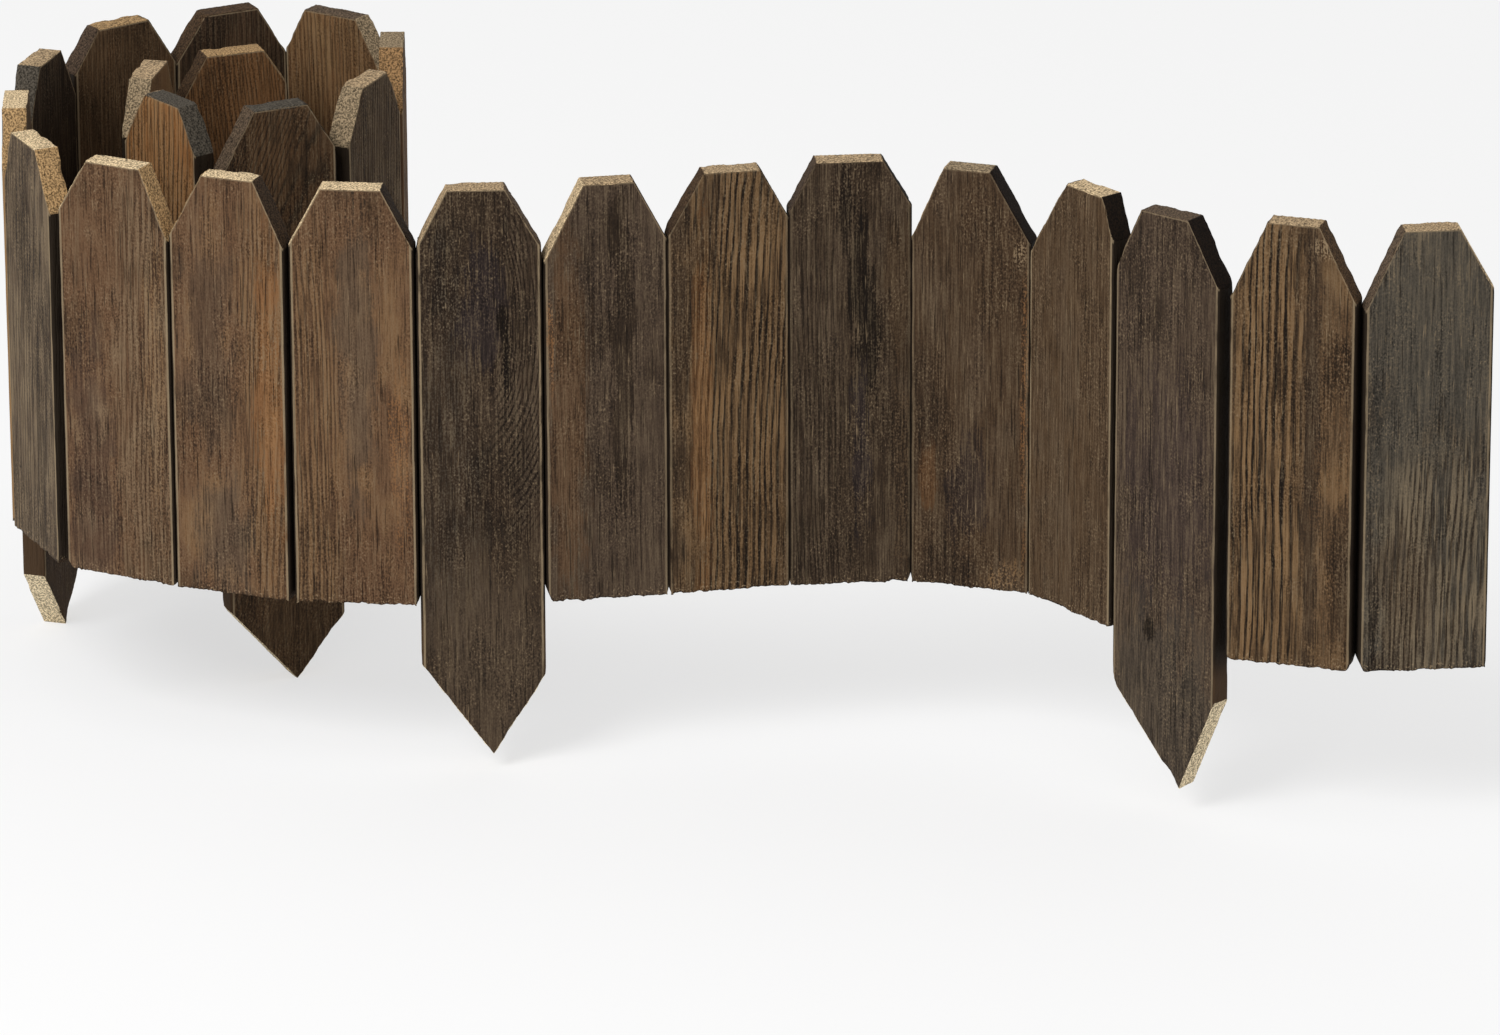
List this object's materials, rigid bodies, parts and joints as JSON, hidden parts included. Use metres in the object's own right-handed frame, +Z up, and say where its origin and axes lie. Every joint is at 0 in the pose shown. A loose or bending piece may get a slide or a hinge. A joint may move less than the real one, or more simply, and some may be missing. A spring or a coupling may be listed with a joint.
{
  "type": "roll-up picket border",
  "caption": "Half unrolled picket border: dog-eared charred boards and long pointed stakes on two stapled wires, a coil at one end.",
  "frame": {"origin": "middle of the foot of the plain board that stands next to the middle stake, on the soil line", "axes": "+X along the row towards its free end, -Y out of the weather faces, +Z up"},
  "size_m": [1.0806, 0.611, 0.4646],
  "materials": {
    "charred_wood": "rough sawn, charred and brushed, with pale sawn ends",
    "galvanised_wire": "dull galvanised"
  },
  "bodies": {
    "root": {"lower_staples": "galvanised_wire", "lower_wire": "galvanised_wire", "picket_01": "charred_wood", "picket_02": "charred_wood", "picket_03": "charred_wood", "picket_05": "charred_wood", "picket_06": "charred_wood", "picket_07": "charred_wood", "picket_08": "charred_wood", "picket_09": "charred_wood", "picket_11": "charred_wood", "picket_12": "charred_wood", "picket_13": "charred_wood", "picket_14": "charred_wood", "picket_15": "charred_wood", "picket_17": "charred_wood", "picket_18": "charred_wood", "picket_19": "charred_wood", "picket_20": "charred_wood", "picket_21": "charred_wood", "picket_23": "charred_wood", "picket_24": "charred_wood", "stake_picket_04": "charred_wood", "stake_picket_10": "charred_wood", "stake_picket_16": "charred_wood", "stake_picket_22": "charred_wood", "upper_staples": "galvanised_wire", "upper_wire": "galvanised_wire"}
  },
  "joints": []
}
